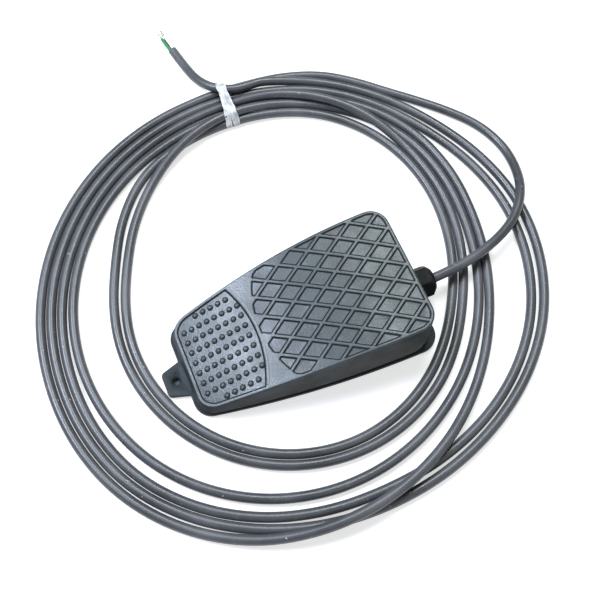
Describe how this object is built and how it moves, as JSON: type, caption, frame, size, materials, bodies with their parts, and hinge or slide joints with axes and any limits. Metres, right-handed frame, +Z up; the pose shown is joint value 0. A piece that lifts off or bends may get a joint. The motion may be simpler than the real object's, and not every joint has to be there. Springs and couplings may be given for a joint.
{
  "type": "foot switch",
  "caption": "Wedge-shaped cast foot pedal with a diamond lattice and a studded heel, hinged on a flanged base with a mounting lug, with a tied coil of mains cord.",
  "frame": {"origin": "on the floor, below the middle of the switch from lug tip to gland nut, without its cord", "axes": "+X from the low hinge end with the lug towards the tall end with the cord, +Y across, +Z up"},
  "size_m": [0.3538, 0.3925, 0.0417],
  "materials": {
    "hammered_paint": "glossy grey lacquer over a casting, worn at the edges",
    "steel": "bright zinc plated",
    "spring_steel": "drawn wire",
    "brass_plated": "stamped",
    "black_moulding": "moulded, satin",
    "red_button": "moulded, glossy",
    "black_rubber": "moulded, matt",
    "gland_nylon": "moulded, satin",
    "cord_sheath": "extruded grey sheath, satin",
    "core_black": "extruded",
    "core_white": "extruded",
    "core_green": "extruded",
    "core_mixed": "extruded, one colour to each core",
    "tinned_copper": "tinned strands",
    "white_tape": "woven cotton tape"
  },
  "bodies": {
    "base": {"base": "hammered_paint", "rubber_feet": "black_rubber", "hinge_pin": "steel", "hinge_clips": "spring_steel", "return_spring": "spring_steel", "switch_case": "black_moulding", "switch_cover": "black_moulding", "lever_pin": "steel", "switch_terminals": "brass_plated", "switch_screws": "steel", "bumpers": "black_rubber", "earth_terminal": "brass_plated", "earth_screw": "steel", "wire_black": "core_black", "wire_white": "core_white", "wire_green": "core_green", "gland_body": "gland_nylon", "gland_seal": "black_rubber", "gland_nut": "gland_nylon", "gland_lock_nut": "gland_nylon", "cord_lead": "cord_sheath", "cord_coil": "cord_sheath", "cord_tail": "cord_sheath", "coil_tie": "white_tape", "cord_cores": "core_mixed", "cord_strands": "tinned_copper"},
    "pedal": {"pedal": "hammered_paint", "actuator_screw": "steel", "actuator_lock_nut": "steel"},
    "lever": {"switch_lever": "steel"},
    "plunger": {"switch_plunger": "red_button"}
  },
  "joints": [
    {"name": "pedal_hinge", "type": "hinge", "parent": "base", "child": "pedal", "pos_m": [-0.058, 0, 0.009], "axis": [0, 1, 0], "range_deg": [0, 2], "stiffness_Nm_per_rad": 12, "springref_deg": -2.98, "deforming": ["return_spring"]},
    {"name": "lever_hinge", "type": "hinge", "parent": "base", "child": "lever", "pos_m": [0.0115, 0.0075, 0.0248], "axis": [0, 1, 0], "range_deg": [0, 11]},
    {"name": "plunger_slide", "type": "slide", "parent": "base", "child": "plunger", "axis": [0, 0, -1], "range_m": [0, 0.0016]}
  ],
  "couplings": [
    {"joint": "lever_hinge", "follows": "pedal_hinge", "ratio": 4.39},
    {"joint": "plunger_slide", "follows": "pedal_hinge", "m_per_rad": 0.03512}
  ]
}
